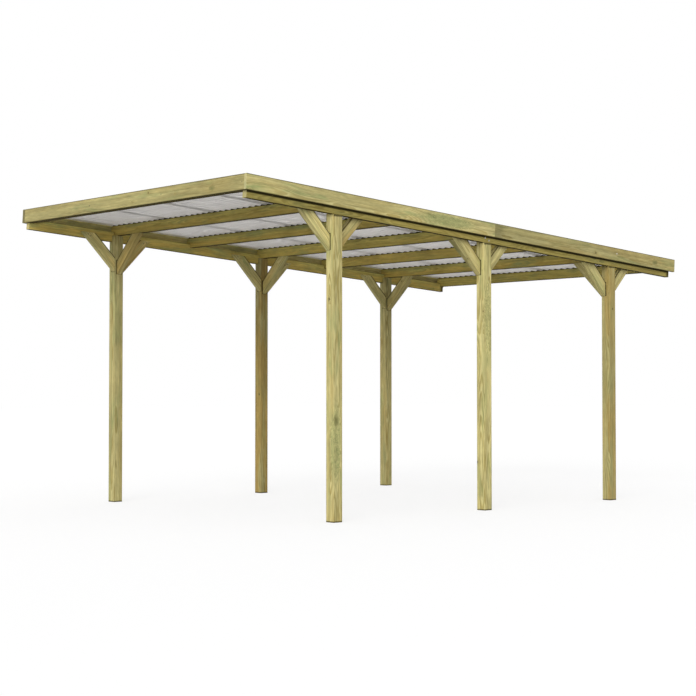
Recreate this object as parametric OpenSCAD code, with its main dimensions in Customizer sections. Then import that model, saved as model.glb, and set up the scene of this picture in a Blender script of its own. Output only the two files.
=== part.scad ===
// Free-standing timber carport. Six posts carry two side beams that fall to the rear, and
// seven rafters are notched over the beams. Knee braces stiffen every post, a fascia closes
// three sides, and a corrugated plastic roof drains at the open rear edge.
// X is the width, Y runs from the front to the rear and Z is up. All sizes are millimetres.

/* [Frame] */
// Width over the outer faces of the two side beams
frame_w = 2960; // [2000:10:4000]
// Distance between neighbouring post rows, centre to centre
post_pitch = 1685; // [1200:5:2400]
// From the front post row back to the front end of the beams
front_overhang = 891; // [500:1:1200]
// From the rear post row to the rear end of the beams
rear_overhang = 865; // [500:1:1200]
// Height of the beams' underside over the front post row
beam_height = 2305; // [1900:5:3200]
// Fall of the roof towards the rear, in degrees
roof_fall = 3.43; // [0:0.01:8]

/* [Timber] */
// Side of the square posts
post_size = 90; // [80:1:140]
// Radius of the posts' long edges
post_round = 9; // [2:1:16]
// Thickness of beams, rafters and braces
timber_t = 45; // [35:1:60]
// Depth of beams and rafters
timber_h = 90; // [70:1:160]
// Radius of the long edges of beams, rafters and braces
timber_round = 4; // [1:0.5:8]
// Depth of the notches that seat the rafters on the beams
notch_depth = 36; // [15:1:60]

/* [Knee braces] */
// Depth of a brace, measured square to its slope
brace_depth = 90; // [50:1:120]
// Slope of the braces, in degrees
brace_slope = 45; // [35:1:55]
// How far below the beam a forward brace reaches on its post
drop_forward = 268; // [200:1:420]
// How far below the beam a rearward brace reaches on its post
drop_rearward = 269; // [200:1:420]
// How far below the beam a cross brace reaches on its post
drop_cross = 287; // [200:1:420]
// How far the forward and rearward braces lap up the inner face of the beam
brace_lap = 48; // [20:1:80]

/* [Fascia] */
// Thickness of the fascia boards
fascia_t = 27; // [15:1:40]
// Height of the fascia boards
fascia_h = 116; // [110:1:180]
// Radius of the long edges of the fascia boards
fascia_round = 3; // [1:0.5:6]
// How far the side boards run past the rear end of the beams
fascia_tail = 55; // [10:1:120]
// From the middle post row back to the joint in the side boards
fascia_joint = 52; // [-300:1:300]
// Gap in that joint
joint_gap = 1; // [0.5:0.5:4]

/* [Roof sheets] */
// Number of sheets, side by side
sheet_count = 4; // [2:1:6]
// Width of the left sheet, which is cut to fit
first_sheet_w = 820; // [400:1:1000]
// Whole corrugations from one lap to the next
cover_waves = 9; // [4:1:12]
// Corrugations by which neighbouring sheets lap
lap_waves = 1; // [1:1:2]
// Width of one corrugation
wave_pitch = 76; // [60:1:130]
// Rise of a corrugation, without the sheet's own thickness
wave_h = 16; // [8:1:20]
// Thickness of the plastic
sheet_t = 1.2; // [0.8:0.1:3]
// Gap between two sheets where they lap
lap_gap = 0.3; // [0.1:0.1:1]
// Gap between the roof sheets and the fascia
sheet_gap = 4; // [1:0.5:10]
// How far the sheets run past the rear end of the beams
sheet_tail = 48; // [5:1:110]

/* [Hidden] */
$fn = 32;
SIDES = ["left", "right"];
ROWS = ["front", "middle", "rear"];
WAYS = ["forward", "rearward", "cross"];
ENDS = ["front", "rear"];
RAFTERS = [for (i = [1:7]) str("rafter_", i)];
SHEETS = [for (i = [1:sheet_count]) str("roof_sheet_", i)];

// Heights above the beams' underside, square to the slope
rafter_foot = timber_h - notch_depth;
rafter_top = rafter_foot + timber_h;
fascia_top = rafter_foot + fascia_h;

// Distances out from the middle, along X
beam_outer = frame_w / 2;
beam_inner = beam_outer - timber_t;
post_inner = beam_outer - post_size;

// Level distances along Y, counted from the front post row
beam_front = -front_overhang;
beam_rear = 2 * post_pitch + rear_overhang;
joint_y = post_pitch + fascia_joint;

// The origin is on the ground below the middle of the roof.
far = 2 * (beam_rear - beam_front + frame_w);
low_front = level_y(slope_y(beam_front) - fascia_t, rafter_foot);
high_rear = level_y(slope_y(beam_rear) + fascia_tail, fascia_top);
middle_y = (low_front + high_rear) / 2;

// Distance down the slope of a point that lies y behind the front posts and h above the
// beams' underside, and the way back from there.
function slope_y(y, h = 0) = (y - h * sin(roof_fall)) / cos(roof_fall);
function level_y(s, h) = s * cos(roof_fall) + h * sin(roof_fall);

function row_y(row) = search([row], ROWS)[0] * post_pitch;

// Everything above the posts is set out on the slope: X as before, Y down the slope from
// the front post row and Z square to the slope from the beams' underside.
module on_slope() {
    translate([0, -middle_y, beam_height]) rotate([-roof_fall, 0, 0]) children();
}

module level() {
    translate([0, -middle_y, 0]) children();
}

// All that lies above a height on the slope
module above(h) {
    on_slope() translate([-far / 2, -far / 2, h]) cube(far);
}

// A left-hand piece is the mirror image of the right-hand one.
module on_side(side) {
    if (side == "left") mirror([1, 0, 0]) children();
    else children();
}

// Section with rounded corners, w by h, with one corner at the origin
module section(w, h, r) {
    translate([r, 0]) square([w - 2 * r, h]);
    translate([0, r]) square([w, h - 2 * r]);
    for (x = [r, w - r], y = [r, h - r]) translate([x, y]) circle(r);
}

// Board along Y, w wide and h high, from y0 to y1
module board_y(w, h, r, y0, y1) {
    translate([0, y1, 0]) rotate([90, 0, 0]) linear_extrude(y1 - y0) section(w, h, r);
}

// Board along X, w thick and h high, from x0 to x1
module board_x(w, h, r, x0, x1) {
    translate([x0, 0, 0]) rotate([90, 0, 90]) linear_extrude(x1 - x0) section(w, h, r);
}

// Post: its outer half stops under the beam, and its inner half runs on to the rafter.
module post(row, side) {
    color("darkkhaki") on_side(side) difference() {
        level() translate([post_inner, row_y(row) - post_size / 2, 0])
            linear_extrude(beam_height + timber_h * 2) section(post_size, post_size, post_round);
        intersection() {
            above(0);
            translate([beam_inner, -far / 2, 0]) cube(far);
        }
        above(rafter_foot);
    }
}

module beam(side) {
    color("tan") on_side(side) on_slope() translate([beam_inner, 0, 0])
        board_y(timber_t, timber_h, timber_round, slope_y(beam_front), slope_y(beam_rear));
}

// Middle of each rafter down the slope: one at each end of the beams, one over each post
// row and one halfway between two rows.
function rafter_s(i) =
    i == 0 ? slope_y(beam_front) + timber_t / 2 :
    i == 6 ? slope_y(beam_rear) - timber_t / 2 :
    slope_y((i - 1) * post_pitch / 2, rafter_foot + timber_h / 2);

// Rafter, notched over both beams
module rafter(i) {
    color("burlywood") on_slope() translate([0, rafter_s(i) - timber_t / 2, rafter_foot])
        difference() {
            board_x(timber_t, timber_h, timber_round, -beam_outer, beam_outer);
            for (x = [-beam_outer - timber_t, beam_inner])
                translate([x, -timber_t, -timber_h]) cube([2 * timber_t, 3 * timber_t, timber_h + notch_depth]);
        }
}

// Sloping brace in the plane of X and Z. Its foot stands on the plane x = 0 with its lower
// edge at z = 0, and it runs on beyond any trimming.
module brace_blank() {
    length = 3 * (drop_forward + drop_cross);
    intersection() {
        rotate([0, -brace_slope, 0]) translate([-length, -timber_t / 2, 0])
            board_x(timber_t, brace_depth, timber_round, 0, 2 * length);
        translate([0, -timber_t, -length]) cube([length, 2 * timber_t, 2 * length]);
    }
}

// Height of the beams' underside where a level distance y meets it
function underside(y) = beam_height - y * tan(roof_fall);

// Brace along the beam, fixed to the beam's inner face; way is -1 forward or 1 rearward
module beam_brace(row, side, way, drop) {
    foot_y = row_y(row) + way * post_size / 2;
    color("khaki") on_side(side) difference() {
        level() translate([beam_inner - timber_t / 2, foot_y, underside(foot_y) - drop])
            rotate([0, 0, way * 90]) brace_blank();
        above(brace_lap);
    }
}

// Brace across the carport, under the rafter over its post
module cross_brace(row, side) {
    color("khaki") on_side(side) difference() {
        level() translate([post_inner, row_y(row), underside(row_y(row)) - drop_cross])
            mirror([1, 0, 0]) brace_blank();
        above(rafter_foot);
    }
}

module brace(row, side, way) {
    if (way == "forward") beam_brace(row, side, -1, drop_forward);
    else if (way == "rearward") beam_brace(row, side, 1, drop_rearward);
    else cross_brace(row, side);
}

// The front board runs between the two side boards.
module fascia_front() {
    color("goldenrod") on_slope() translate([0, slope_y(beam_front) - fascia_t, rafter_foot])
        board_x(fascia_t, fascia_h, fascia_round, -beam_outer, beam_outer);
}

// Side fascia, in two boards that meet behind the middle post
module fascia_side(side, end) {
    y0 = end == "front" ? slope_y(beam_front) - fascia_t : slope_y(joint_y) + joint_gap / 2;
    y1 = end == "front" ? slope_y(joint_y) - joint_gap / 2 : slope_y(beam_rear) + fascia_tail;
    color("goldenrod") on_side(side) on_slope() translate([beam_outer, 0, rafter_foot])
        board_y(fascia_t, fascia_h, fascia_round, y0, y1);
}

// Edges of the roof sheets: each sheet after the first laps over the one to its left.
roof_edge = beam_outer - sheet_gap;
wave_step = wave_pitch / 12;
function sheet_right(i) =
    i == sheet_count - 1 ? roof_edge : first_sheet_w - roof_edge + i * cover_waves * wave_pitch;
function sheet_left(i) = i == 0 ? -roof_edge : sheet_right(i - 1) - lap_waves * wave_pitch;

// Rise of the corrugations, and how far a sheet is lifted to lie on its neighbour
function wave(x) = wave_h / 2 * (1 - cos(360 * (x + roof_edge) / wave_pitch));
function lift(i, x) =
    i == 0 ? 0 : (sheet_t + lap_gap) * max(0, min(1, (sheet_right(i - 1) - x) / wave_pitch * 2 + 1.5));

module roof_sheet(i) {
    left = sheet_left(i);
    right = sheet_right(i);
    first = ceil((left + roof_edge) / wave_step + 0.1);
    last = floor((right + roof_edge) / wave_step - 0.1);
    xs = concat([left], [for (k = [first:last]) k * wave_step - roof_edge], [right]);
    under = [for (x = xs) [x, wave(x) + lift(i, x)]];
    over = [for (k = [len(xs) - 1:-1:0]) under[k] + [0, sheet_t]];
    y0 = slope_y(beam_front) + sheet_gap;
    y1 = slope_y(beam_rear) + sheet_tail;
    color("lightgray") on_slope() translate([0, y1, rafter_top]) rotate([90, 0, 0])
        linear_extrude(y1 - y0) polygon(concat(under, over));
}

for (row = ROWS, side = SIDES)
    post(row, side);
for (side = SIDES)
    beam(side);
for (i = [0:6])
    rafter(i);
for (row = ROWS, side = SIDES, way = WAYS)
    brace(row, side, way);
fascia_front();
for (side = SIDES, end = ENDS)
    fascia_side(side, end);
for (i = [0:sheet_count - 1])
    roof_sheet(i);
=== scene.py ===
"""Looks for the timber carport, in metres: pressure-treated pine posts, beams, rafters, knee
braces and fascia boards under a frosted corrugated roof, with the screws that hold them."""
import math
import random

import bmesh
import bpy
from mathutils import Matrix, Vector


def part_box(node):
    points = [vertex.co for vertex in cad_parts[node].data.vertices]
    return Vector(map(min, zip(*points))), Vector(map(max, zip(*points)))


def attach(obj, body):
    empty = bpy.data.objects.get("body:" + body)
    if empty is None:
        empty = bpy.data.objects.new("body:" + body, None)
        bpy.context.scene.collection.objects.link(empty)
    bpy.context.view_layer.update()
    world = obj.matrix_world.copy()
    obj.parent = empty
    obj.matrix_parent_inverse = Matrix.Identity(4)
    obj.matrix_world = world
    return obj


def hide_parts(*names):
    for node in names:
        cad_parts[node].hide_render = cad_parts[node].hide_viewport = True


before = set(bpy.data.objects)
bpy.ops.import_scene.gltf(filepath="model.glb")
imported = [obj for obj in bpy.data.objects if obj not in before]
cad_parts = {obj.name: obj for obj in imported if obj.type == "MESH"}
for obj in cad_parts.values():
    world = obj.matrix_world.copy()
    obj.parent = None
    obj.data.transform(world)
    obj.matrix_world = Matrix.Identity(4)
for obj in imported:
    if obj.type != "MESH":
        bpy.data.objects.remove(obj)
for spare in ("Cube", "Light", "Camera"):
    if spare in bpy.data.objects:
        bpy.data.objects.remove(bpy.data.objects[spare])
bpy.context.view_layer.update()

SIDES = ("left", "right")
ROWS = ("front", "middle", "rear")
WAYS = ("forward", "rearward", "cross")
RAFTERS = range(1, 8)
SHEETS = range(1, 5)

# How the frame is set out
ROOF_FALL = math.radians(3.43)
BEAM_HEIGHT = 2.305
BRACE_SLOPE = math.radians(45)
POST_SIZE = 0.090
TIMBER_T = 0.045
TIMBER_H = 0.090
BRACE_DEPTH = 0.090

# Rounding of the timber's long edges, and the easing of its cut ends
POST_ROUND = 0.009
TIMBER_ROUND = 0.004
FASCIA_ROUND = 0.003
END_EASE = 0.0013
CORNER_STEPS = 5

# How far a post's blank runs past its head, and where a brace's blank starts and ends along
# it, from its foot
POST_SPARE = 0.1
BRACE_BLANK = (-0.3, 1.0)

# Nearest and furthest place of the log's heart from the middle of what was sawn from it
POST_HEART = (0.012, 0.040)
FRAME_HEART = (0.03, 0.09)
BRACE_HEART = (0.03, 0.08)
FASCIA_HEART = (0.03, 0.08)

# How far the grain moves on along its length from one log to the next
LOG_STEP = 7.3

# Roof sheets
WAVE_PITCH = 0.076
WAVE_RISE = 0.016
SHEET_T = 0.0012
LAP_GAP = 0.0003
LAP_SHADE_WIDTH = 0.020
WAVE_STEPS = 20
SLOPE_STEPS = 12

# Dark fillers between the rafters and the sheets: painted shade in the corrugations
FILLER_T = 0.012
FILLER_SET_BACK = 0.003
FILLER_GAP = 0.0004
FILLER_LEAST = 0.0002
FILLER_STEPS = 12

# How far a notch's cutter runs past the timber, and along the whole slope
CLEAR = 1.0
FAR = 12.0

# Stand-ins for painted shade at an end, painted shade under the fascia and a knot that a timber
# doesn't have
NO_END = 100.0
NO_FASCIA_SHADE = 1.0
NO_KNOT = -1.0


def middle_y(low, high):
    """Middle of a box along Y"""
    return (low.y + high.y) / 2


# Everything above the posts is set out on the slope: X across, Y down the slope from the
# front post row and Z square to the slope from the beams' underside.
FRONT_ROW = middle_y(*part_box("post_front_right"))
SLOPE = Matrix.Translation((0, FRONT_ROW, BEAM_HEIGHT)) @ Matrix.Rotation(-ROOF_FALL, 4, "X")


def slope_box(node):
    """Lowest and highest corner of a CAD node, set out on the slope"""
    back = SLOPE.inverted()
    points = [back @ v.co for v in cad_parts[node].data.vertices]
    low = Vector([min(p[k] for p in points) for k in range(3)])
    high = Vector([max(p[k] for p in points) for k in range(3)])
    return low, high


def on_slope_at(x, y, height):
    """The point at a level Y that lies a given height over the beams' underside"""
    along = ((y - FRONT_ROW) - height * math.sin(ROOF_FALL)) / math.cos(ROOF_FALL)
    return SLOPE @ Vector((x, along, height))


def slope_out(x, y, h):
    """A direction given on the slope"""
    return SLOPE.to_3x3() @ Vector((x, y, h))


def sign_of(side):
    """Which way along X a side lies"""
    return -1 if side == "left" else 1


def outer_x(side, low, high):
    """Where a box on one side has its outer face"""
    return high.x if side == "right" else low.x


def inner_x(side, low, high):
    """Where a box on one side has its inner face"""
    return low.x if side == "right" else high.x


# ---------------- shader helpers

class Field:
    """What a node gives at each point of a surface: a value, a vector or a colour. A sum of
    fields makes the nodes that work it out."""

    def __init__(self, socket):
        self.socket = socket
        self.tree = socket.id_data

    def __add__(self, other):
        return calc("ADD", self, other)

    def __sub__(self, other):
        return calc("SUBTRACT", self, other)

    def __mul__(self, other):
        return calc("MULTIPLY", self, other)

    def __truediv__(self, other):
        return calc("DIVIDE", self, other)


def feed(socket, value):
    """Links a field to a socket, or sets the socket's own value."""
    if isinstance(value, Field):
        value.tree.links.new(value.socket, socket)
    else:
        socket.default_value = value


def place(tree, kind, sockets=(), **settings):
    """Adds a node with its own settings and with what its inputs are fed: its outputs."""
    made = tree.nodes.new("ShaderNode" + kind)
    for key, value in settings.items():
        setattr(made, key, value)
    for key, value in dict(sockets).items():
        feed(made.inputs[key], value)
    return made.outputs


def calc(operation, *parts):
    """One step of arithmetic on values or vectors; a length comes out as a value."""
    kind = "Math" if parts[0].socket.type == "VALUE" else "VectorMath"
    made = place(parts[0].tree, kind, dict(enumerate(parts)), operation=operation)
    return Field(made["Value" if operation == "LENGTH" else 0])


def scaled(value, factor, added):
    """A value times a factor, with something added"""
    return calc("MULTIPLY_ADD", value, factor, added)


def most(first, *others):
    """The highest of several values"""
    for other in others:
        first = calc("MAXIMUM", first, other)
    return first


def ramp(value, low, high, start=0.0, end=1.0):
    """Eases from start to end as the value goes from low to high."""
    sockets = dict(enumerate((value, low, high, start, end)))
    return Field(place(value.tree, "MapRange", sockets, interpolation_type="SMOOTHSTEP")[0])


def fade(value, low, high, start=1.0):
    """Eases from start down to nothing as the value goes from low to high."""
    return ramp(value, low, high, start, 0.0)


def mix(share, first, second, blend_type="MIX"):
    """Blends two colours."""
    tree = next(part.tree for part in (share, first) if isinstance(part, Field))
    sockets = {0: share, 6: first, 7: second}
    return Field(place(tree, "Mix", sockets, data_type="RGBA", blend_type=blend_type)[2])


def split(vector):
    """The three parts of a vector"""
    return [Field(part) for part in place(vector.tree, "SeparateXYZ", {0: vector})]


def noise(vector, scale=1.0, detail=2.0, rough=0.5, colour=False):
    """Soft random values, or three of them at once as a colour"""
    sockets = {"Vector": vector, "Scale": scale, "Detail": detail, "Roughness": rough}
    return Field(place(vector.tree, "TexNoise", sockets)["Color" if colour else 0])


def drawn_out(vector, along, across, detail=2.0, rough=0.5, colour=False):
    """Soft random values drawn out along the grain: how many fit a metre along and across it."""
    return noise(vector * (along, across, across), 1.0, detail, rough, colour)


def drift(vector, along, across, detail, reach):
    """Soft random shifts across the grain, half of reach to either side"""
    centred = drawn_out(vector, along, across, detail, colour=True) + (-0.5, -0.5, -0.5)
    return centred * (0.0, reach, reach)


def new_group(name, inputs, outputs):
    """A node group with named inputs and outputs: the group, what comes in, and what goes out"""
    group = bpy.data.node_groups.new(name, "ShaderNodeTree")
    for label, kind, value in inputs:
        socket = group.interface.new_socket(label, in_out="INPUT", socket_type="NodeSocket" + kind)
        if value is not None:
            socket.default_value = value
    for label, kind in outputs:
        group.interface.new_socket(label, in_out="OUTPUT", socket_type="NodeSocket" + kind)
    entry = group.nodes.new("NodeGroupInput")
    leave = group.nodes.new("NodeGroupOutput")
    given = {label: Field(entry.outputs[label]) for label, kind, value in inputs}
    return group, given, leave.inputs


def use_group(tree, group, sockets):
    """Places a node group with its own values: its outputs."""
    made = tree.nodes.new("ShaderNodeGroup")
    made.node_tree = group
    for key, value in sockets.items():
        feed(made.inputs[key], value)
    return [Field(result) for result in made.outputs]


def new_material(name):
    """A material with an empty node tree"""
    material = bpy.data.materials.new(name)
    material.use_nodes = True
    material.node_tree.nodes.clear()
    return material, material.node_tree


def finish_material(tree, base, rough, height, depth, **plain):
    """Ends a material in one Principled shader; plain values go on the shader's own sockets."""
    bump = place(tree, "Bump", {"Strength": 1.0, "Distance": depth, "Height": height})
    sockets = {"Base Color": base, "Roughness": rough, "Normal": Field(bump[0])}
    sockets.update({key.replace("_", " "): value for key, value in plain.items()})
    shader = place(tree, "BsdfPrincipled", sockets)
    place(tree, "OutputMaterial", {0: Field(shader[0])})


def value_of(tree, name, vector=False):
    """A value stored on the mesh"""
    made = place(tree, "Attribute", attribute_name=name)
    return Field(made["Vector" if vector else "Fac"])


# ---------------- pine

EARLY_WOOD = (0.54, 0.48, 0.215, 1)
LATE_WOOD = (0.355, 0.29, 0.10, 1)
WARM_WOOD = (0.44, 0.31, 0.095, 1)
STAINED_WOOD = (0.28, 0.315, 0.125, 1)
KNOT_WOOD = (0.10, 0.085, 0.035, 1)
GREEN_KNOT = (0.075, 0.115, 0.050, 1)
# Nearly black colour of the painted shade
PAINTED_SHADE_COLOUR = (0.026, 0.021, 0.006, 1)
SAWN_WOOD = (0.52, 0.47, 0.25, 1)

# Beams and rafters are yellower.
FRAME_EARLY = (0.61, 0.515, 0.148, 1)
FRAME_LATE = (0.355, 0.28, 0.070, 1)
FRAME_WARM = (0.50, 0.365, 0.095, 1)

# How much of each mark's colour the wood takes
GREEN_KNOT_SHARE = 0.88
CHECK_SHARE = 0.55
HALO_SHARE = 0.40
CORE_SHARE = 0.85
SAWN_SHARE = 0.55
# How dark the painted shade gets on undersides, in the strip under the fascia and beside brace
# feet
UNDERSIDE_SHADE_SHARE = 0.90
FASCIA_SHADE_SHARE = 0.93
JOINT_SHADE_SHARE = 0.90

# Random knots: how many cells fit a metre, the least radius and what chance adds to it
KNOT_CELLS = 5.2
KNOT_LEAST = 0.003
KNOT_MORE = 0.012

# How far a knot pushes the rings aside
KNOT_PUSH = 0.010

PINE_RELIEF = 0.0007
PINE_SHEEN = 0.06

# What the mesh tells the grain, under the names of the grain's inputs
MESH_VECTORS = "grain section half_section knot_one knot_two swirl joint_at joint_half".split()
MESH_VALUES = (
    "tone warmth staining banding sawn_end start length under shelter joint knot_one_size "
    "knot_two_size swirl_share damp_reach damp_share"
).split()


def label_of(name):
    """An input's name: half_section is Half section."""
    return name.replace("_", " ").capitalize()


PINE_INPUTS = [(label_of(name), "Vector", None) for name in MESH_VECTORS]
PINE_INPUTS += [(label_of(name), "Float", 0.0) for name in MESH_VALUES]
PINE_INPUTS += [
    ("Early wood", "Color", EARLY_WOOD),
    ("Late wood", "Color", LATE_WOOD),
    ("Warm wood", "Color", WARM_WOOD),
    ("Ring width", "Float", 0.0060),
    ("Ring strength", "Float", 0.75),
    ("Edge", "Float", 0.5),
    # How strong and how wide the painted shade line along upper edges is
    ("Upper line", "Float", 0.0),
    ("Upper width", "Float", 0.008),
]
PINE_OUTPUTS = [("Color", "Color"), ("Roughness", "Float"), ("Height", "Float")]


def warp_grain(given):
    """Bends the grain: the heart of the log wanders slowly, every ring has a small ripple, and
    in a swirl the grain turns over on itself."""
    grain = given["Grain"]
    wander = drift(grain, along=1.1, across=3.5, detail=1.0, reach=0.095)
    ripple = drift(grain, along=7.0, across=22.0, detail=2.0, reach=0.010)
    away = calc("LENGTH", given["Swirl"] * (0.16, 1.0, 1.0))
    swirl = fade(away, 0.030, 0.062) * given["Swirl share"]
    curl = drift(grain, along=12.0, across=26.0, detail=2.0, reach=0.10)
    curl_share = Field(place(grain.tree, "CombineXYZ", {0: swirl, 1: swirl, 2: swirl})[0])
    return grain + wander + ripple + curl * curl_share, swirl


def past_knot(given, label, wobble, ragged):
    """How far a point lies past the ragged edge of a knot that the timber is known by"""
    gap = calc("LENGTH", given[label] * (0.55, 1.0, 1.0))
    gap = scaled(ragged, 0.034, scaled(wobble, 0.010, gap))
    return gap - 0.017 - given[label + " size"]


def find_knots(given):
    """Knots at random places and sizes, and up to two that the timber is known by, of which
    the second is green: the cores, the grain round them, and the green"""
    grain = given["Grain"]
    sockets = {"Vector": grain, "Scale": KNOT_CELLS, "Randomness": 1.0}
    cells = place(grain.tree, "TexVoronoi", sockets)
    chance = Field(place(grain.tree, "SeparateColor", {0: Field(cells["Color"])})[0])
    wobble = noise(grain, 130.0)
    edge = scaled(wobble, 0.005, Field(cells["Distance"]) / KNOT_CELLS)
    share = edge / scaled(chance, KNOT_MORE, KNOT_LEAST)
    ragged = drawn_out(grain, along=38.0, across=95.0, detail=3.0, rough=0.6)
    past_one = past_knot(given, "Knot one", wobble, ragged)
    past_two = past_knot(given, "Knot two", wobble, ragged)
    core = most(fade(share, 0.75, 1.15), fade(past_one, 0.001, 0.006))
    halo = most(fade(share, 1.0, 3.4), fade(past_one, 0.002, 0.024), fade(past_two, 0.002, 0.024))
    return core, halo, fade(past_two, -0.006, 0.022)


def growth_rings(given, warped, halo):
    """Rings about the heart of the log: pale early wood deepens to late wood, and ends at a
    sharp line."""
    across, up = split(warped)[1:]
    radius = calc("SQRT", calc("POWER", across, 2.0) + calc("POWER", up, 2.0))
    phase = (radius + halo * KNOT_PUSH) / given["Ring width"]
    ring = calc("FRACT", phase)
    sockets = {"W": calc("FLOOR", phase)}
    uneven = place(phase.tree, "TexWhiteNoise", sockets, noise_dimensions="1D")["Value"]
    weight = scaled(Field(uneven), 1.0, 0.35)
    return ramp(ring, 0.15, 0.80) * fade(ring, 0.86, 1.0) * weight * given["Ring strength"]


def warm_bands(given, warped, mottle, height):
    """Warm heartwood in broad bands, and low on the sides of a banded timber"""
    band = drawn_out(warped, along=1.5, across=11.0)
    widened = scaled(given["Warmth"], 0.26, band)
    low_side = fade(scaled(mottle, 0.030, height), -0.006, 0.030)
    return most(ramp(widened, 0.54, 0.78) * given["Warmth"], low_side * given["Banding"])


def light_and_dark(given, warped, mottle):
    """Streaks, mottling and broad changes in brightness, about the timber's own tone"""
    streak = drawn_out(warped, along=1.3, across=48.0, detail=4.0, rough=0.65)
    broad = drawn_out(given["Grain"], along=1.1, across=8.0)
    light = scaled(streak, 1.15, 0.425) * scaled(mottle, 0.70, 0.65) * scaled(broad, 0.50, 0.75)
    light = light * given["Tone"]
    return Field(place(light.tree, "CombineColor", {0: light, 1: light, 2: light})[0])


def green_patches(given, warped, rings, swirl, height):
    """Treatment patches, drawn out along the grain and deeper in the late wood"""
    patch = drawn_out(warped, along=2.6, across=15.0, detail=3.0, rough=0.55)
    high_side = ramp(height, 0.004, 0.034) * given["Banding"]
    green = scaled(high_side, 0.7, ramp(patch, 0.49, 0.66))
    return most(green, swirl) * scaled(rings, 0.8, 0.6) * given["Staining"]


def darker_rim(given, mottle, inside):
    """Rounded edges are darker."""
    inward = scaled(mottle, -0.004, most(inside[1], inside[2]))
    return fade(inward, -0.002, 0.006) * given["Edge"]


def fascia_shade_strip(given, mottle, height):
    """Painted shade in the strip close under the fascia"""
    below = scaled(mottle, 0.004, height - given["Shelter"])
    return ramp(below, -0.016, -0.007, 0.0, FASCIA_SHADE_SHARE)


def painted_end_shade(given, mottle, along):
    """Painted shade on the stretch at a timber's start and end, where it meets other parts"""
    to_end = calc("ABSOLUTE", given["Length"] - along)
    to_start = calc("ABSOLUTE", along - given["Start"])
    gap = calc("MINIMUM", to_end, to_start) / given["Damp reach"]
    return fade(scaled(mottle, 0.4, gap), 0.55, 1.2) * given["Damp share"]


def joint_shade_line(given, mottle):
    """A thin dark line of painted shade on a post, at the sides of a brace's foot"""
    away = calc("ABSOLUTE", given["Section"] - given["Joint at"])
    beyond = split(calc("MAXIMUM", away - given["Joint half"], (0, 0, 0)))
    gap = scaled(mottle, 0.006, beyond[1] + beyond[2])
    return fade(scaled(beyond[0], 8.0, gap), 0.006, 0.020, JOINT_SHADE_SHARE) * given["Joint"]


def upper_shade_line(given, mottle, height, inside):
    """A thin dark line of painted shade along the upper edge of a timber's sides"""
    depth = scaled(mottle, 0.002, inside[2]) / given["Upper width"]
    on_top = calc("GREATER_THAN", height, 0.0)
    on_side = fade(inside[1], 0.003, 0.006)
    return fade(depth, 0.4, 1.0) * on_top * on_side * given["Upper line"]


def painted_shade_places(given, mottle, section, inside):
    """Where painted shade makes the timber nearly black: undersides, the strip under the fascia,
    ends and the thin lines at joints and edges"""
    return most(
        given["Under"] * UNDERSIDE_SHADE_SHARE,
        fascia_shade_strip(given, mottle, section[2]),
        painted_end_shade(given, mottle, section[0]),
        joint_shade_line(given, mottle),
        upper_shade_line(given, mottle, section[2], inside),
    )


def make_pine_grain():
    """Planed pine: growth rings about the heart of the log, drawn-out fibres, knots that push the
    rings aside, and the green patches that pressure treatment leaves, with painted shade on
    undersides, under the fascia, at ends and joints and along upper edges"""
    group, given, out = new_group("pine grain", PINE_INPUTS, PINE_OUTPUTS)
    warped, swirl = warp_grain(given)
    core, halo, green_knot = find_knots(given)
    rings = growth_rings(given, warped, halo)
    section = split(given["Section"])
    inside = split(given["Half section"] - calc("ABSOLUTE", given["Section"]))
    fibre = drawn_out(warped, along=9.0, across=520.0)
    mottle = drawn_out(warped, along=11.0, across=60.0, detail=3.0, rough=0.6)

    # Some streaks open into fine drying checks.
    check = ramp(drawn_out(given["Grain"], along=1.7, across=110.0, detail=1.0), 0.71, 0.78)

    late = rings + scaled(fibre, 0.6, -0.30)
    wood = mix(late, given["Early wood"], given["Late wood"])
    wood = mix(warm_bands(given, warped, mottle, section[2]), wood, given["Warm wood"])
    light = light_and_dark(given, warped, mottle)
    wood = mix(1.0, wood, light, "MULTIPLY")
    stain = mix(1.0, light, STAINED_WOOD, "MULTIPLY")
    wood = mix(green_patches(given, warped, rings, swirl, section[2]), wood, stain)

    # Each mark is laid over what is already there.
    dark = mix(0.5, given["Late wood"], KNOT_WOOD)
    wood = mix(green_knot * GREEN_KNOT_SHARE, wood, GREEN_KNOT)
    wood = mix(check * CHECK_SHARE, wood, dark)
    wood = mix(halo * HALO_SHARE, wood, given["Late wood"])
    wood = mix(core * CORE_SHARE, wood, KNOT_WOOD)
    wood = mix(darker_rim(given, mottle, inside), wood, dark)
    # Painted shade: undersides, the strip under the fascia, ends, joints and upper edges go nearly
    # black and rougher.
    painted_shade = painted_shade_places(given, mottle, section, inside)
    wood = mix(painted_shade, wood, PAINTED_SHADE_COLOUR)

    # Sawn ends drink more of the treatment, and are paler and greener unless painted shade lies on
    # them.
    pale = mix(SAWN_SHARE, wood, SAWN_WOOD)
    wood = mix(given["Sawn end"] * scaled(painted_shade, -0.6, 1.0), wood, pale)

    feed(out["Color"], wood)
    feed(out["Roughness"], scaled(painted_shade, 0.35, scaled(fibre, 0.20, 0.50) - rings * 0.10))
    feed(out["Height"], scaled(rings, 0.5, fibre * 0.6) - core * 0.4 - check * 0.9)
    return group


PINE = make_pine_grain()


def make_pine(name, **own):
    """A pine material: the shared grain with the mesh's values and the material's own"""
    material, tree = new_material(name)
    sockets = {label_of(key): value_of(tree, key, vector=True) for key in MESH_VECTORS}
    sockets.update({label_of(key): value_of(tree, key) for key in MESH_VALUES})
    sockets.update({label_of(key): value for key, value in own.items()})
    colour, rough, height = use_group(tree, PINE, sockets)
    finish_material(tree, colour, rough, height, PINE_RELIEF, Specular_IOR_Level=PINE_SHEEN)
    return material


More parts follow.
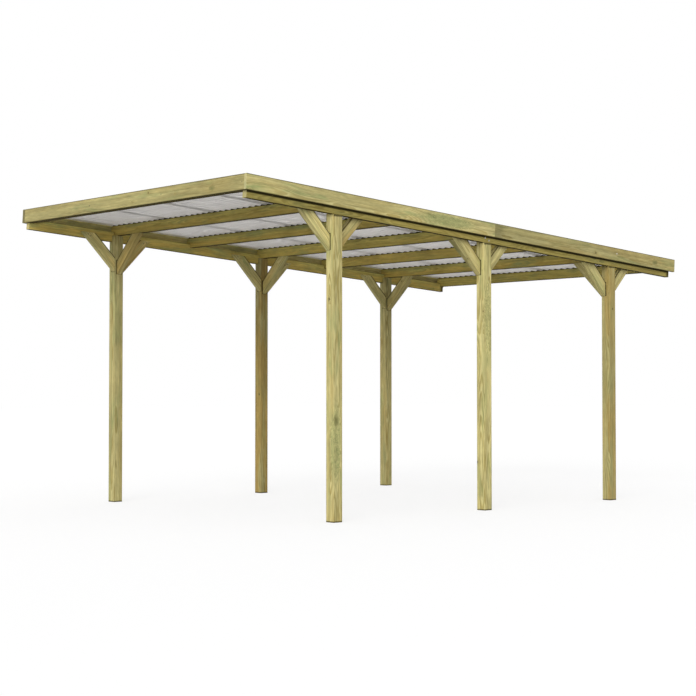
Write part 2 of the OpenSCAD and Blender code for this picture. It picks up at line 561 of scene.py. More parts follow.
POST_PINE = make_pine("post pine", Ring_width=0.0085, Ring_strength=0.95, Edge=0.45)
FRAME_PINE = make_pine(
    "beam and rafter pine",
    Early_wood=FRAME_EARLY,
    Late_wood=FRAME_LATE,
    Warm_wood=FRAME_WARM,
    Ring_width=0.0060,
    Edge=0.5,
    Upper_line=0.5,
)
BRACE_PINE = make_pine(
    "brace pine",
    Ring_width=0.0055,
    Edge=0.5,
    Upper_line=0.75,
    Upper_width=0.016,
)
FASCIA_PINE = make_pine(
    "fascia pine",
    Ring_width=0.0065,
    Edge=0.8,
    Upper_line=0.6,
    Upper_width=0.010,
)


# ---------------- plastic, steel and painted shade fillers

def object_place(tree):
    """The place of a point in its object"""
    return Field(place(tree, "TexCoord")["Object"])


def make_sheet_plastic():
    """Frosted plastic: slightly uneven milkiness drawn out along the corrugations, and a nearly
    black line of painted shade along each lap"""
    material, tree = new_material("frosted roof plastic")
    point = object_place(tree)
    cloud = noise(point * (6.0, 1.2, 6.0), 1.0, 3.0)
    speck = noise(point, 420.0)
    base = mix(cloud, (0.72, 0.705, 0.69, 1), (0.79, 0.77, 0.745, 1))
    # Painted shade along the lap
    base = mix(value_of(tree, "lap"), base, (0.018, 0.016, 0.024, 1))
    rough = scaled(speck, 0.20, 0.35)
    finish_material(tree, base, rough, speck, 0.0002, Transmission_Weight=0.6, IOR=1.40)
    return material


def make_clouded(name, low, high, scale, detail, least_rough, more_rough, depth, **plain):
    """A hard finish, slightly clouded between two colours"""
    material, tree = new_material(name)
    cloud = noise(object_place(tree), scale, detail)
    rough = scaled(cloud, more_rough, least_rough)
    finish_material(tree, mix(cloud, low, high), rough, cloud, depth, **plain)
    return material


def make_zinc(name, low, high):
    """Zinc-plated steel"""
    return make_clouded(name, low, high, 260.0, 3.0, 0.28, 0.25, 0.00004, Metallic=1.0)


def make_dark_steel():
    """Screw steel under a dark waxy coat"""
    low = (0.06, 0.055, 0.04, 1)
    high = (0.12, 0.11, 0.085, 1)
    return make_clouded(
        "dark screw steel", low, high, 340.0, 2.0, 0.35, 0.25, 0.00004, Metallic=0.8
    )


def make_cap_plastic():
    """Milky plastic of the screw caps"""
    low = (0.55, 0.54, 0.53, 1)
    high = (0.66, 0.65, 0.64, 1)
    return make_clouded("screw cap plastic", low, high, 180.0, 2.0, 0.35, 0.15, 0.00005)


def make_shade_filler():
    """Dark matt strips with a fine cell pattern: painted shade"""
    material, tree = new_material("shade filler")
    cells = place(tree, "TexVoronoi", {"Vector": object_place(tree), "Scale": 900.0})
    cells = Field(cells["Distance"])
    base = mix(cells, (0.010, 0.010, 0.008, 1), (0.024, 0.022, 0.018, 1))
    finish_material(tree, base, scaled(cells, 0.15, 0.75), cells, 0.0003)
    return material


SHEET_PLASTIC = make_sheet_plastic()
ZINC = make_zinc("zinc plated steel", (0.42, 0.40, 0.35, 1), (0.58, 0.56, 0.50, 1))
NEW_ZINC = make_zinc("new zinc plating", (0.86, 0.84, 0.78, 1), (0.95, 0.93, 0.88, 1))
DARK_STEEL = make_dark_steel()
CAP_PLASTIC = make_cap_plastic()
SHADE_FILLER = make_shade_filler()


# ---------------- what sets timbers apart

def on_post(row, side, across, height, on_front):
    """A point on a post's front face or on its outer face, across from its middle"""
    low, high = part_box(f"post_{row}_{side}")
    middle = (low + high) / 2
    if on_front:
        return Vector((middle.x + across, low.y, height))
    return Vector((outer_x(side, low, high), middle.y + across, height))


# Height of the fascia's lower edge over the beams' underside, square to the slope
FASCIA_FOOT = slope_box("fascia_front")[0].z
FRONT_FACE = slope_box("fascia_front")[0].y
RIGHT_FACE = slope_box("fascia_right_front")[1].x

# Knots that the timbers are known by, each with its radius; a timber's second one is green.
KNOTS = {
    "fascia_front": (
        (SLOPE @ Vector((0.118, FRONT_FACE, 0.086)), 0.005),
        (SLOPE @ Vector((1.110, FRONT_FACE, 0.099)), 0.011),
    ),
    "fascia_right_rear": (
        (on_slope_at(RIGHT_FACE, 1.403, 0.091), 0.008),
        (on_slope_at(RIGHT_FACE, 2.290, 0.107), 0.015),
    ),
    "post_front_right": (
        (on_post("front", "right", -0.008, 1.67, True), 0.009),
        (on_post("front", "right", -0.022, 0.76, False), 0.014),
    ),
    "post_rear_right": ((on_post("rear", "right", 0.0, 1.722, False), 0.008),),
    "post_middle_left": ((on_post("middle", "left", 0.020, 0.95, True), 0.009),),
}
SWIRLS = {
    "fascia_right_front": on_slope_at(RIGHT_FACE, -0.52, 0.112),
    "post_middle_right": on_post("middle", "right", 0.0, 1.58, False),
    "post_front_right": on_post("front", "right", -0.020, 0.60, False),
}

# Which ends of a timber get painted shade where it meets other parts, at its start and at its end,
# how far in and how dark
END_SHADE = {
    "post": (True, True, 0.014, 0.82),
    "beam": (False, True, 0.055, 0.82),
    "fascia_front": (True, False, 0.012, 0.70),
    "fascia_left_front": (True, False, 0.030, 0.82),
    "fascia_right_rear": (True, False, 0.150, 0.30),
    "fascia_left_rear": (True, False, 0.150, 0.30),
}
NO_END_SHADE = (False, False, 0.02, 0.0)

# Tone, warmth, staining and banding of the timbers that stand out from the rest. The tones are
# partly the wood's own and partly painted light and shade, for how each piece's faces are lit.
LOOK_NAMES = ("tone", "warmth", "staining", "banding")
LOOKS = {
    "post_front_right": (1.10, 0.40, 0.60, 0.0),
    "post_middle_right": (1.20, 0.12, 0.38, 0.0),
    "post_rear_right": (0.86, 0.65, 0.28, 0.0),
    "post_front_left": (0.93, 0.25, 0.55, 0.0),
    "post_middle_left": (0.75, 0.95, 0.25, 0.0),
    "post_rear_left": (0.97, 0.40, 0.50, 0.0),
    "fascia_front": (0.79, 0.30, 0.60, 0.0),
    "fascia_right_front": (1.04, 0.20, 0.75, 0.0),
    "fascia_right_rear": (0.86, 0.38, 0.50, 0.0),
    "fascia_left_front": (0.90, 0.40, 0.50, 0.0),
    "fascia_left_rear": (0.90, 0.40, 0.50, 0.0),
    # Painted shade: the right beam is darkened for the shadow under the fascia's overhang.
    "beam_right": (0.66, 0.40, 0.35, 0.15),
    "beam_left": (1.15, 0.75, 0.60, 0.70),
    "rafter_7": (0.98, 0.15, 0.55, 0.10),
    "brace_front_right_forward": (1.30, 0.10, 0.55, 0.0),
    "brace_front_left_forward": (1.12, 0.30, 0.60, 0.0),
    "brace_front_left_cross": (1.00, 0.70, 0.20, 0.0),
    "brace_middle_left_forward": (1.02, 0.10, 0.85, 0.0),
    "brace_middle_left_cross": (1.12, 0.55, 0.20, 0.0),
    "brace_rear_right_forward": (1.22, 0.10, 0.45, 0.0),
}
# Braces are lighter than the rest, partly their own tone and partly painted light under the roof.
BRACE_TONE = 1.12


def heart_of(rng, near, far):
    """A random place for the heart of the log, off the middle of the section"""
    turn = rng.uniform(0, 2 * math.pi)
    reach = rng.uniform(near, far)
    return reach * math.cos(turn), reach * math.sin(turn)


def chance_looks(rng, node):
    """Random tone, warmth, staining and banding for a timber like any other"""
    banding = rng.uniform(0.4, 0.9) if node.startswith("rafter") else 0.0
    brighter = BRACE_TONE if node.startswith("brace") else 1.0
    tone = rng.uniform(0.92, 1.06) * brighter
    return tone, rng.uniform(0.1, 0.8), rng.uniform(0.2, 0.7), banding


# ---------------- what a mesh stores

def store(mesh, name, value_at, kind="FLOAT", domain="POINT"):
    """Stores what value_at says of each point or face, or one value all over."""
    layer = mesh.attributes.new(name, kind, domain)
    field = "vector" if kind == "FLOAT_VECTOR" else "value"
    for spot, element in zip(layer.data, mesh.vertices if domain == "POINT" else mesh.polygons):
        setattr(spot, field, value_at(element) if callable(value_at) else value_at)


def store_section(mesh, matrix, halves, heart, seed):
    """Stores where each point lies in its own timber, and in the log it was sawn from."""
    back = matrix.inverted()
    away = Vector((seed * LOG_STEP, -heart[0], -heart[1]))
    store(mesh, "grain", lambda v: back @ v.co + away, "FLOAT_VECTOR")
    store(mesh, "section", lambda v: back @ v.co, "FLOAT_VECTOR")
    store(mesh, "half_section", (0, *halves), "FLOAT_VECTOR")


def store_faces(mesh, matrix, length, shelter):
    """Stores which faces look down, for painted shade on undersides, which are sawn ends, and
    which get painted shade at their ends or under the fascia. On a post only the outer face gets
    painted shade under the beam."""
    along = matrix.to_3x3() @ Vector((1, 0, 0))
    side = math.copysign(1.0, matrix.translation.x)
    upright = abs(along.z) > 0.9
    said = {
        "length": lambda f: NO_END if upright and f.normal.x * side < 0.6 else length,
        "shelter": lambda f: shelter if f.normal.x * side > 0.9 else NO_FASCIA_SHADE,
        # Faces that look down get painted shade.
        "under": lambda f: 1.0 if f.normal.z < -0.75 else 0.0,
        "sawn_end": lambda f: 1.0 if abs(f.normal.dot(along)) > 0.6 else 0.0,
    }
    for name, value_at in said.items():
        store(mesh, name, value_at, domain="FACE")


def store_knots(mesh, matrix, node):
    """Stores the knots that the timber is known by, and a swirl in its grain."""
    nowhere = Vector((0, 0, 0))
    knots = list(KNOTS.get(node, ())) + [(nowhere, NO_KNOT)] * 2
    spots = {"knot_one": knots[0][0], "knot_two": knots[1][0], "swirl": SWIRLS.get(node, nowhere)}
    back = matrix.inverted()
    for name, point in spots.items():
        centre = back @ point
        store(mesh, name, lambda v: back @ v.co - centre, "FLOAT_VECTOR")
    store(mesh, "knot_one_size", knots[0][1])
    store(mesh, "knot_two_size", knots[1][1])
    store(mesh, "swirl_share", 1.0 if node in SWIRLS else 0.0)


def store_joints(mesh, matrix, joints):
    """Stores on each face where the foot of a brace stands against it, for the painted shade
    beside it.
    """
    back = matrix.inverted()
    half_cut = BRACE_DEPTH / math.cos(BRACE_SLOPE) / 2
    half_foot = (half_cut, TIMBER_T / 2, TIMBER_T / 2)

    def foot_on(face):
        return next((joints[way] for way in joints if face.normal.dot(Vector(way)) > 0.6), None)

    def foot_at(face):
        return back @ foot_on(face) if foot_on(face) else (0, 0, 0)

    store(mesh, "joint", lambda f: 1.0 if foot_on(f) else 0.0, domain="FACE")
    store(mesh, "joint_at", foot_at, "FLOAT_VECTOR", "FACE")
    store(mesh, "joint_half", half_foot, "FLOAT_VECTOR", "FACE")


# ---------------- timber

def rounded_outline(width, height, rounding):
    """Outline of a section about its own middle, with rounded corners"""
    out = width / 2 - rounding
    up = height / 2 - rounding
    corners = ((out, up, 0), (-out, up, 90), (-out, -up, 180), (out, -up, 270))
    points = []
    for y, z, start in corners:
        for k in range(CORNER_STEPS + 1):
            turn = math.radians(start + 90 * k / CORNER_STEPS)
            points.append((y + rounding * math.cos(turn), z + rounding * math.sin(turn)))
    return points


def skin(bm, loops):
    """Faces from each closed loop of points to the next"""
    for near, far in zip(loops, loops[1:]):
        for k in range(len(near)):
            after = (k + 1) % len(near)
            bm.faces.new((near[k], near[after], far[after], far[k]))


def closed_skin(bm, loops):
    """The same, with a face over the first loop and over the last"""
    skin(bm, loops)
    bm.faces.new(loops[0])
    bm.faces.new(loops[-1])


def blank(bm, start, end, width, height, rounding):
    """Planed length of timber along X, its section centred on the axis"""
    outline = rounded_outline(width, height, rounding)
    closed_skin(bm, [[bm.verts.new((x, y, z)) for y, z in outline] for x in (start, end)])


def object_from(bm, name):
    """Makes an object of a finished bmesh, its faces turned outward."""
    bmesh.ops.recalc_face_normals(bm, faces=bm.faces)
    mesh = bpy.data.meshes.new(name)
    bm.to_mesh(mesh)
    bm.free()
    made = bpy.data.objects.new(name, mesh)
    bpy.context.scene.collection.objects.link(made)
    return made


def box_cutter(low, high):
    """A box on the slope, to cut a notch with"""
    bm = bmesh.new()
    size = Vector(high) - Vector(low)
    middle = (Vector(high) + Vector(low)) / 2
    bmesh.ops.create_cube(bm, size=1.0)
    bmesh.ops.scale(bm, vec=size, verts=bm.verts)
    bmesh.ops.translate(bm, vec=middle, verts=bm.verts)
    bmesh.ops.transform(bm, matrix=SLOPE, verts=bm.verts)
    return object_from(bm, "cutter")


def smooth(mesh):
    """Shades every face smoothly."""
    for face in mesh.polygons:
        face.use_smooth = True


def settle(made, notches):
    """Cuts the notches, eases the sawn edges and evens the shading, then fixes the mesh."""
    for cutter in notches:
        step = made.modifiers.new("notch", "BOOLEAN")
        step.operation = "DIFFERENCE"
        step.solver = "EXACT"
        step.object = cutter
    ease = made.modifiers.new("ease", "BEVEL")
    ease.width = END_EASE
    ease.segments = 2
    ease.limit_method = "ANGLE"
    ease.angle_limit = math.radians(35)
    smooth(made.data)
    even = made.modifiers.new("even", "WEIGHTED_NORMAL")
    even.weight = 80
    even.keep_sharp = False
    seen = made.evaluated_get(bpy.context.evaluated_depsgraph_get())
    mesh = bpy.data.meshes.new_from_object(seen)
    made.modifiers.clear()
    made.data = mesh
    for cutter in notches:
        bpy.data.objects.remove(cutter)


def axes(along, up, origin):
    """Matrix of a timber's own axes: X along it, Z up its depth"""
    along = Vector(along).normalized()
    up = Vector(up).normalized()
    side = up.cross(along)
    turn = Matrix((along, side, up)).transposed().to_4x4()
    return Matrix.Translation(origin) @ turn


class Timber:
    """One length of timber, from its blank to the finished piece. Its ends are where painted shade
    darkens it, and its joints are where braces stand against it."""

    def __init__(self, node, matrix, start, end, width, height, rounding):
        self.node = node
        self.matrix = matrix
        self.halves = (width / 2, height / 2)
        kind = next((name for name in END_SHADE if node.startswith(name)), None)
        at_start, at_end, self.reach, self.share = END_SHADE.get(kind, NO_END_SHADE)
        self.ends = (start if at_start else -NO_END, end if at_end else NO_END)
        self.joints = {}
        self.notches = []
        self.bm = bmesh.new()
        blank(self.bm, start, end, width, height, rounding)
        bmesh.ops.transform(self.bm, matrix=matrix, verts=self.bm.verts)

    def saw(self, point, outward):
        """Saws the timber off on a plane; what lies outward of it goes."""
        bm = self.bm
        geometry = bm.verts[:] + bm.edges[:] + bm.faces[:]
        bmesh.ops.bisect_plane(
            bm, geom=geometry, dist=1e-7, plane_co=point, plane_no=outward, clear_outer=True
        )
        bmesh.ops.edgeloop_fill(bm, edges=[e for e in bm.edges if e.is_boundary])

    def saw_head(self):
        """Saws it off along the slope, at its CAD node's height."""
        head = slope_box(self.node)[1].z
        self.saw(SLOPE @ Vector((0, 0, head)), slope_out(0, 0, 1))

    def notch(self, low, high):
        """Marks a box on the slope to be cut away."""
        self.notches.append(box_cutter(low, high))

    def store_looks(self, mesh, heart_range):
        """Stores all that the pine grain asks of the mesh."""
        rng = random.Random(self.node)
        heart = heart_of(rng, *heart_range)
        chance = chance_looks(rng, self.node)
        seed = rng.uniform(1, 9)
        # Where the fascia's lower edge lies on a beam's outer face; the painted shade reaches just
        # below it.
        shelter = FASCIA_FOOT - TIMBER_H / 2 if self.node.startswith("beam") else NO_FASCIA_SHADE
        store_section(mesh, self.matrix, self.halves, heart, seed)
        store_faces(mesh, self.matrix, self.ends[1], shelter)
        for name, value in zip(LOOK_NAMES, LOOKS.get(self.node, chance)):
            store(mesh, name, value)
        store(mesh, "start", self.ends[0])
        store(mesh, "damp_reach", self.reach)
        store(mesh, "damp_share", self.share)
        store_knots(mesh, self.matrix, self.node)
        store_joints(mesh, self.matrix, self.joints)

    def done(self, material, heart_range):
        """Makes the finished piece, which stands for the CAD node."""
        made = object_from(self.bm, self.node + "_timber")
        settle(made, self.notches)
        self.store_looks(made.data, heart_range)
        made.data.materials.clear()
        made.data.materials.append(material)
        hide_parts(self.node)
        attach(made, "root")


def slope_middle(node):
    """Where the middle of a node lies down the slope"""
    return middle_y(*slope_box(node))


def past_beam(side, low_z, high_z):
    """Corners of a box on the slope, from a beam's inner face outward"""
    inner = inner_x(side, *slope_box("beam_" + side))
    outer = inner + CLEAR * sign_of(side)
    return (min(inner, outer), -FAR, low_z), (max(inner, outer), FAR, high_z)


def brace_feet(row, side):
    """The middle of each brace's foot on its post, by the way the post's face looks"""
    low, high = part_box(f"post_{row}_{side}")
    rise = BRACE_DEPTH / math.cos(BRACE_SLOPE) / 2
    feet = {}
    for way in WAYS:
        brace_low, brace_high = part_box(f"brace_{row}_{side}_{way}")
        foot = (brace_low + brace_high) / 2
        foot.z = brace_low.z + rise
        if way == "cross":
            foot.x = inner_x(side, low, high)
        else:
            foot.y = low.y if way == "forward" else high.y
        feet[way_out(side, way)] = foot
    return feet


def way_out(side, way):
    """Which way a brace reaches from its post"""
    return {"forward": (0, -1, 0), "rearward": (0, 1, 0), "cross": (-sign_of(side), 0, 0)}[way]


def make_post(row, side):
    """Its outer half stops under the beam, and its inner half runs on to the rafter."""
    node = f"post_{row}_{side}"
    low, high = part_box(node)
    middle = (low + high) / 2
    matrix = axes((0, 0, 1), (0, -1, 0), (middle.x, middle.y, low.z))
    post = Timber(node, matrix, 0, high.z + POST_SPARE, POST_SIZE, POST_SIZE, POST_ROUND)
    post.saw_head()
    post.notch(*past_beam(side, slope_box("beam_" + side)[0].z, CLEAR))
    # Painted shade at the post's foot and, on its outer face, under the beam
    post.ends = (0.0, (SLOPE @ Vector((0, slope_middle(node), 0))).z)
    post.joints = brace_feet(row, side)
    post.done(POST_PINE, POST_HEART)


def make_board(node, along_x, rounding, material, heart_range, notches=()):
    """A square-ended board on the slope, along X or down the slope"""
    low, high = slope_box(node)
    middle = (low + high) / 2
    size = high - low
    if along_x:
        start = Vector((low.x, middle.y, middle.z))
        way = slope_out(1, 0, 0)
        length, width = size.x, size.y
    else:
        start = Vector((middle.x, low.y, middle.z))
        way = slope_out(0, 1, 0)
        length, width = size.y, size.x
    matrix = axes(way, slope_out(0, 0, 1), SLOPE @ start)
    board = Timber(node, matrix, 0, length, width, size.z, rounding)
    for corners in notches:
        board.notch(*corners)
    board.done(material, heart_range)


def make_beam(side):
    """Beam over the outer halves of its posts"""
    make_board("beam_" + side, False, TIMBER_ROUND, FRAME_PINE, FRAME_HEART)


def make_rafter(number):
    """Rafter, notched over both beams"""
    node = f"rafter_{number}"
    notches = [past_beam(side, -CLEAR, slope_box("beam_" + side)[1].z) for side in SIDES]
    make_board(node, True, TIMBER_ROUND, FRAME_PINE, FRAME_HEART, notches)


def make_fascia(node, along_x):
    """Fascia board round the roof's edge"""
    make_board(node, along_x, FASCIA_ROUND, FASCIA_PINE, FASCIA_HEART)


def make_brace(row, side, way):
    """Knee brace at its slope, sawn to the post at its foot and to the roof at its head"""
    node = f"brace_{row}_{side}_{way}"
    low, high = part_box(node)
    middle = (low + high) / 2
    foot = Vector((middle.x, middle.y, low.z))
    if way == "forward":
        foot.y = high.y
    elif way == "rearward":
        foot.y = low.y
    else:
        foot.x = outer_x(side, low, high)
    out = Vector(way_out(side, way))
    climb = Vector((0, 0, 1))
    along = out * math.cos(BRACE_SLOPE) + climb * math.sin(BRACE_SLOPE)
    square = climb * math.cos(BRACE_SLOPE) - out * math.sin(BRACE_SLOPE)
    matrix = axes(along, square, foot + square * (BRACE_DEPTH / 2))
    brace = Timber(node, matrix, *BRACE_BLANK, TIMBER_T, BRACE_DEPTH, TIMBER_ROUND)
    brace.saw(foot, -out)
    brace.saw_head()
    brace.done(BRACE_PINE, BRACE_HEART)


# ---------------- roof sheets and fillers

ROOF_EDGE = slope_box(f"roof_sheet_{SHEETS[-1]}")[1].x
RAFTER_TOP = slope_box("rafter_4")[1].z


def wave(x):
    """Rise of the corrugations"""
    return WAVE_RISE / 2 * (1 - math.cos(2 * math.pi * (x + ROOF_EDGE) / WAVE_PITCH))


def lift(number, x):
    """How far a sheet rises to lie on its neighbour: fully until a quarter wave past the
    neighbour's edge, and no more from three quarters on"""
    if number == 1:
        return 0.0
    edge = slope_box(f"roof_sheet_{number - 1}")[1].x
    return (SHEET_T + LAP_GAP) * max(0.0, min(1.0, (edge - x) / WAVE_PITCH * 2 + 1.5))


def steps_between(low, high, count):
    """Even steps from low to high"""
    return [low + (high - low) * k / count for k in range(count + 1)]


def make_sheet(number):
    """Corrugated sheet: one closed skin, straight down the slope"""
    node = f"roof_sheet_{number}"
    low, high = slope_box(node)
    count = math.ceil((high.x - low.x) / WAVE_PITCH * WAVE_STEPS)
    across = steps_between(low.x, high.x, count)
    under = [(x, RAFTER_TOP + wave(x) + lift(number, x)) for x in across]
    outline = under + [(x, h + SHEET_T) for x, h in reversed(under)]
    down = steps_between(low.y, high.y, SLOPE_STEPS)
    bm = bmesh.new()
    rings = [[bm.verts.new(SLOPE @ Vector((x, s, h))) for x, h in outline] for s in down]
    skin(bm, rings)
    last = len(outline) - 1
    for ring in (rings[0], rings[-1]):
        for k in range(count):
            bm.faces.new((ring[k], ring[k + 1], ring[last - k - 1], ring[last - k]))
    made = object_from(bm, node + "_skin")
    mark_lap(made.data, high.x if number in SHEETS[:-1] else FAR)
    smooth(made.data)
    made.data.set_sharp_from_angle(angle=math.radians(40))
    made.data.materials.append(SHEET_PLASTIC)
    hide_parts(node)
    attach(made, "root")


def mark_lap(mesh, edge):
    """Marks the strip of a sheet that its neighbour laps over, for a line of painted shade."""
    back = SLOPE.inverted()
    store(mesh, "lap", lambda v: 1.0 if edge - (back @ v.co).x < LAP_SHADE_WIDTH else 0.0)


def filler_section(x, near):
    """Four corners of a filler's section, up to the underside of the sheets"""
    top = RAFTER_TOP + max(wave(x) - FILLER_GAP, FILLER_LEAST)
    far = near + FILLER_T
    corners = ((near, RAFTER_TOP), (near, top), (far, top), (far, RAFTER_TOP))
    return [SLOPE @ Vector((x, s, h)) for s, h in corners]


def make_fillers():
    """Dark strips that close the corrugations over every rafter: painted shade where the sheets
    rise off the rafters
    """
    bm = bmesh.new()
    count = round(2 * ROOF_EDGE / WAVE_PITCH * FILLER_STEPS)
    for number in RAFTERS:
        near = slope_box(f"rafter_{number}")[0].y + FILLER_SET_BACK
        rows = []
        for k in range(count + 1):
            x = -ROOF_EDGE + 2 * ROOF_EDGE * k / count
            rows.append([bm.verts.new(corner) for corner in filler_section(x, near)])
        closed_skin(bm, rows)
    made = object_from(bm, "foam_fillers")
    made.data.materials.append(SHADE_FILLER)
    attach(made, "root")


# ---------------- screws

# Screw heads from the shank out to the rim and in to the drive: a share of the radius, the
# height, and how far the drive's lobes wave in and out
SCREW_HEAD = (
    (0.45, -0.0040, 0),
    (0.98, 0.0000, 0),
    (1.00, 0.0003, 0),
    (0.93, 0.0008, 0),
    (0.55, 0.0010, 0.10),
    (0.50, -0.0012, 0.12),
)
LOBES = 6

# How many sides a turned shape has
HEXAGON = 6
ROUND = 24
VERY_ROUND = 32

FRONT_SCREW_R = 0.0045
FRONT_SCREW_INSET = 0.025
SIDE_SCREW_R = 0.0062
SIDE_SCREW_AT = (1.710, 0.119)
BRACE_SCREW_R = 0.0055

# Radius and height of the rings of washers, caps and hexagon heads
WASHER = ((0.0035, 0.0), (0.0080, 0.0), (0.0080, 0.0010), (0.0076, 0.0013), (0.0035, 0.0013))
COACH_HEAD = (
    (0.0056, 0.0013),
    (0.0058, 0.0016),
    (0.0058, 0.0046),
    (0.0048, 0.0052),
    (0.0022, 0.0054),
)
ROOF_CAP = ((0.0125, 0.0), (0.0125, 0.0008), (0.0105, 0.0018), (0.0065, 0.0024), (0.0020, 0.0025))
ROOF_HEAD = (
    (0.0058, 0.0025),
    (0.0058, 0.0028),
    (0.0042, 0.0030),
    (0.0042, 0.0056),
    (0.0036, 0.0061),
    (0.0012, 0.0062),
)

# Coach screws: along the beam from the post's middle, and up from the beam's underside
COACH_SCREWS = ((-0.030, 0.038), (0.016, 0.022))

# Brace screws: back from the end of the brace's head, and down from its top
BRACE_SCREWS = ((0.052, 0.018), (0.080, 0.030))


def facing(point, outward):
    """Matrix that stands a fixing on a surface, its head outward"""
    turn = Vector(outward).to_track_quat("Z", "Y").to_matrix().to_4x4()
    return Matrix.Translation(point) @ turn


def turned(bm, rings, matrix, sides):
    """Adds a turned shape from rings of radius, height and, for a drive, waviness."""
    loops = []
    for radius, height, *wavy in rings:
        loop = []
        for k in range(sides):
            turn = 2 * math.pi * k / sides
            reach = radius * (1 + sum(wavy) * math.cos(LOBES * turn))
            spot = Vector((reach * math.cos(turn), reach * math.sin(turn), height))
            loop.append(bm.verts.new(matrix @ spot))
        loops.append(loop)
    closed_skin(bm, loops)


def add_wood_screw(bm, point, outward, radius):
    """Countersunk head with a six-lobed drive"""
    rings = [(radius * share, height, wavy) for share, height, wavy in SCREW_HEAD]
    turned(bm, rings, facing(point, outward), ROUND)


def add_coach_screw(bm, point, outward):
    """Hexagon head on a round washer"""
    turned(bm, WASHER, facing(point, outward), VERY_ROUND)
    turned(bm, COACH_HEAD, facing(point, outward), HEXAGON)


def add_roof_screw(bm, caps, point, outward):
    """Hexagon head over a domed plastic cap"""
    turned(caps, ROOF_CAP, facing(point, outward), ROUND)
    turned(bm, ROOF_HEAD, facing(point, outward), HEXAGON)


def finish_fixings(bm, name, material):
    """Finishes a joined mesh of fixings."""
    made = object_from(bm, name)
    smooth(made.data)
    made.data.set_sharp_from_angle(angle=math.radians(30))
    made.data.materials.append(material)
    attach(made, "root")


def make_front_screws():
    """Four evenly spaced screws in the front board"""
    bm = bmesh.new()
    low, high = slope_box("fascia_front")
    middle = (low.z + high.z) / 2
    for step in (-1, -1 / 3, 1 / 3, 1):
        spot = SLOPE @ Vector((step * (high.x - FRONT_SCREW_INSET), low.y, middle))
        add_wood_screw(bm, spot, slope_out(0, -1, 0), FRONT_SCREW_R)
    finish_fixings(bm, "front_fascia_screws", DARK_STEEL)


def make_side_screws():
    """One screw in each rear side board"""
    bm = bmesh.new()
    for side in SIDES:
        face = outer_x(side, *slope_box(f"fascia_{side}_front"))
        spot = on_slope_at(face, *SIDE_SCREW_AT)
        add_wood_screw(bm, spot, (sign_of(side), 0, 0), SIDE_SCREW_R)
    finish_fixings(bm, "side_fascia_screws", NEW_ZINC)


def make_coach_screws():
    """Two coach screws hold each beam to its middle post."""
    bm = bmesh.new()
    for side in SIDES:
        low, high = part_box(f"post_middle_{side}")
        for along, rise in COACH_SCREWS:
            point = Vector((outer_x(side, low, high), middle_y(low, high) + along, BEAM_HEIGHT))
            spot = SLOPE.inverted() @ point
            spot.z = rise
            add_coach_screw(bm, SLOPE @ spot, (sign_of(side), 0, 0))
    finish_fixings(bm, "beam_coach_screws", ZINC)


def add_brace_screws(bm, row, side, way):
    """Two screws near the head of a brace along the beam"""
    node = f"brace_{row}_{side}_{way}"
    low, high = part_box(node)
    step = -1 if way == "forward" else 1
    end = low.y if way == "forward" else high.y
    top = slope_box(node)[1].z
    for along, drop in BRACE_SCREWS:
        point = Vector((inner_x(side, low, high), end - step * along, BEAM_HEIGHT))
        spot = SLOPE.inverted() @ point
        spot.z = top - drop
        add_wood_screw(bm, SLOPE @ spot, (-sign_of(side), 0, 0), BRACE_SCREW_R)


def make_brace_screws():
    """Screws in the heads of all the braces along the beams"""
    bm = bmesh.new()
    for row in ROWS:
        for side in SIDES:
            for way in ("forward", "rearward"):
                add_brace_screws(bm, row, side, way)
    finish_fixings(bm, "brace_screws", DARK_STEEL)


def sheet_lift(x):
    """How far the uppermost sheet rises at a place across the roof"""
    here = [sheet for sheet in SHEETS if slope_box(f"roof_sheet_{sheet}")[0].x <= x]
    return max(lift(sheet, x) for sheet in here)


def make_roof_screws():
    """Screws through every third crest of the sheets, over every rafter"""
    bm = bmesh.new()
    caps = bmesh.new()
    crests = int(2 * ROOF_EDGE / WAVE_PITCH)
    for number in RAFTERS:
        for k in range(1, crests, 3):
            x = -ROOF_EDGE + WAVE_PITCH * (k + 0.5)
            top = RAFTER_TOP + WAVE_RISE + SHEET_T + sheet_lift(x)
            spot = SLOPE @ Vector((x, slope_middle(f"rafter_{number}"), top))
            add_roof_screw(bm, caps, spot, slope_out(0, 0, 1))
    finish_fixings(bm, "roof_screws", ZINC)
    finish_fixings(caps, "roof_screw_caps", CAP_PLASTIC)


# ---------------- camera, stage and light

CAMERA_AT = (9.790, -9.3755, 0.990)
CAMERA_TURN = 46.877
CAMERA_TILT = 91.590
CAMERA_LENS = 78.17
FLOOR_BOUNCE = 0.42
FLOOR_SHADE = 0.30
SKY = 0.78
WHITE = (1, 1, 1, 1)
FLOOR_REACH = 60.0


def make_camera():
    """Camera off the front right corner, about a metre above the ground"""
    data = bpy.data.cameras.new("camera")
    data.lens = CAMERA_LENS
    data.sensor_width = 36.0
    data.clip_end = 500.0
    made = bpy.data.objects.new("camera", data)
    bpy.context.scene.collection.objects.link(made)
    turn = Matrix.Rotation(math.radians(CAMERA_TURN), 4, "Z")
    tilt = Matrix.Rotation(math.radians(CAMERA_TILT), 4, "X")
    made.matrix_world = Matrix.Translation(CAMERA_AT) @ turn @ tilt
    bpy.context.scene.camera = made


def seen_directly(tree):
    """1 for rays that show the surroundings: straight to the camera, mirrored or through glass"""
    rays = place(tree, "LightPath")
    kinds = ("Is Camera Ray", "Is Glossy Ray", "Is Transmission Ray")
    return most(*[Field(rays[kind]) for kind in kinds])


def blend_shaders(tree, share, first, second):
    """Blends two shaders."""
    return place(tree, "MixShader", {0: share, 1: Field(first[0]), 2: Field(second[0])})


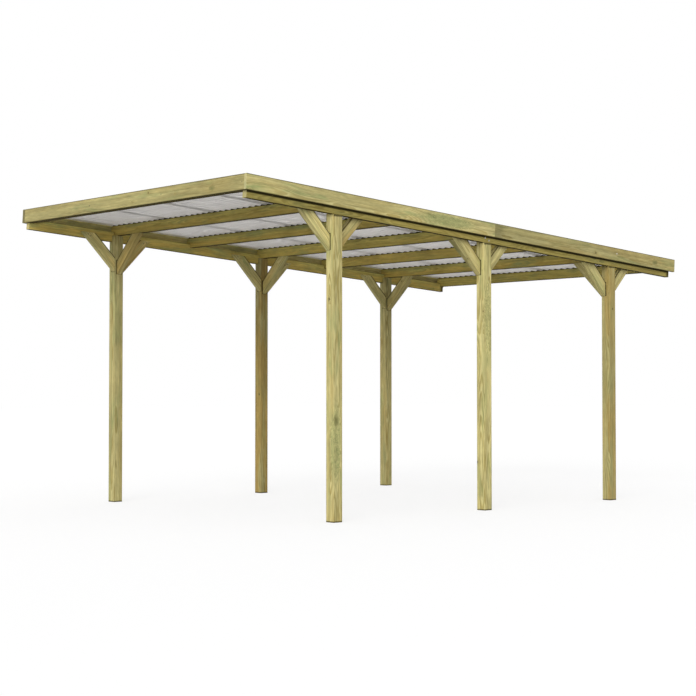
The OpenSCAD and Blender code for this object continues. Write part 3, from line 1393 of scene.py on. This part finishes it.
def make_floor():
    """Plain pale floor that keeps a faint shadow"""
    bm = bmesh.new()
    bmesh.ops.create_grid(bm, x_segments=4, y_segments=4, size=FLOOR_REACH)
    floor = object_from(bm, "floor")
    material, tree = new_material("pale floor")
    matt = place(tree, "BsdfDiffuse", {"Color": (FLOOR_BOUNCE,) * 3 + (1,)})
    bright = place(tree, "BsdfDiffuse", {"Color": WHITE})
    white = place(tree, "Emission", {"Color": WHITE, "Strength": 1.0})
    faint = blend_shaders(tree, FLOOR_SHADE, white, bright)
    shown = blend_shaders(tree, seen_directly(tree), matt, faint)
    place(tree, "OutputMaterial", {0: Field(shown[0])})
    floor.data.materials.append(material)


def make_world():
    """Even sky light, with a white backdrop"""
    world = bpy.data.worlds.new("studio")
    world.use_nodes = True
    tree = world.node_tree
    tree.nodes.clear()
    sky = place(tree, "Background", {"Color": WHITE, "Strength": SKY})
    backdrop = place(tree, "Background", {"Color": WHITE, "Strength": 1.0})
    shown = blend_shaders(tree, seen_directly(tree), sky, backdrop)
    place(tree, "OutputWorld", {0: Field(shown[0])})
    bpy.context.scene.world = world


def make_lamp(name, azimuth, elevation, strength, spread):
    """A broad soft lamp far away; azimuth 0 shines along +Y and 90 along -X."""
    data = bpy.data.lights.new(name, "SUN")
    data.energy = strength
    data.angle = math.radians(spread)
    lamp = bpy.data.objects.new(name, data)
    bpy.context.scene.collection.objects.link(lamp)
    turn = math.radians(azimuth)
    rise = math.radians(elevation)
    back = Vector(
        (math.sin(turn) * math.cos(rise), -math.cos(turn) * math.cos(rise), math.sin(rise))
    )
    lamp.rotation_mode = "QUATERNION"
    lamp.rotation_quaternion = back.to_track_quat("Z", "Y")


for row in ROWS:
    for side in SIDES:
        make_post(row, side)
        for way in WAYS:
            make_brace(row, side, way)
for side in SIDES:
    make_beam(side)
for number in RAFTERS:
    make_rafter(number)
make_fascia("fascia_front", along_x=True)
for side in SIDES:
    for end in ("front", "rear"):
        make_fascia(f"fascia_{side}_{end}", along_x=False)
for number in SHEETS:
    make_sheet(number)
make_fillers()
make_front_screws()
make_side_screws()
make_coach_screws()
make_brace_screws()
make_roof_screws()
make_camera()
make_floor()
make_world()
make_lamp("key", azimuth=31, elevation=19, strength=2.0, spread=36)
make_lamp("fill", azimuth=215, elevation=9, strength=0.7, spread=40)
bpy.context.scene.view_settings.view_transform = "Standard"
